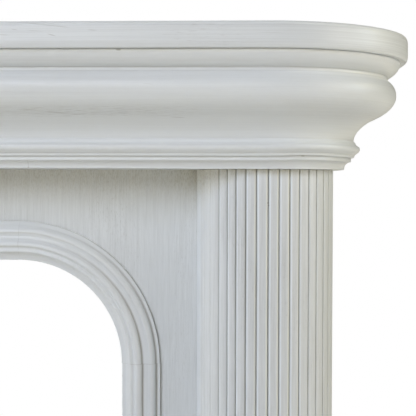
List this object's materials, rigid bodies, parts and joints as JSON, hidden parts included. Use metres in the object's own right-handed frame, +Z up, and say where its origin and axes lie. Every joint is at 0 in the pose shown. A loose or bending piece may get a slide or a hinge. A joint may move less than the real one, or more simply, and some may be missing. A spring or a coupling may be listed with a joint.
{
  "type": "fireplace mantelpiece",
  "caption": "Whitewashed wood fireplace mantelpiece with a rounded shelf, deep ogee cornice, reeded half-round columns and a moulded opening with round upper corners.",
  "frame": {"origin": "on the floor, under the middle of the whole mantelpiece", "axes": "+X along the shelf, -Y towards the room, +Y towards the wall, +Z up"},
  "size_m": [1.537, 0.24, 1.15],
  "materials": {
    "whitewashed_wood": "satin"
  },
  "bodies": {
    "root": {"shelf": "whitewashed_wood", "cornice_front": "whitewashed_wood", "cornice_corner_right": "whitewashed_wood", "cornice_corner_left": "whitewashed_wood", "cornice_side_right": "whitewashed_wood", "cornice_side_left": "whitewashed_wood", "front_panel": "whitewashed_wood", "column_right": "whitewashed_wood", "column_left": "whitewashed_wood", "arch_head": "whitewashed_wood", "arch_corner_right": "whitewashed_wood", "arch_corner_left": "whitewashed_wood", "arch_jamb_right": "whitewashed_wood", "arch_jamb_left": "whitewashed_wood", "side_panel_right": "whitewashed_wood", "side_panel_left": "whitewashed_wood", "inner_return_right": "whitewashed_wood", "inner_return_left": "whitewashed_wood", "soffit_board": "whitewashed_wood", "plinth_right": "whitewashed_wood", "plinth_left": "whitewashed_wood"}
  },
  "joints": []
}
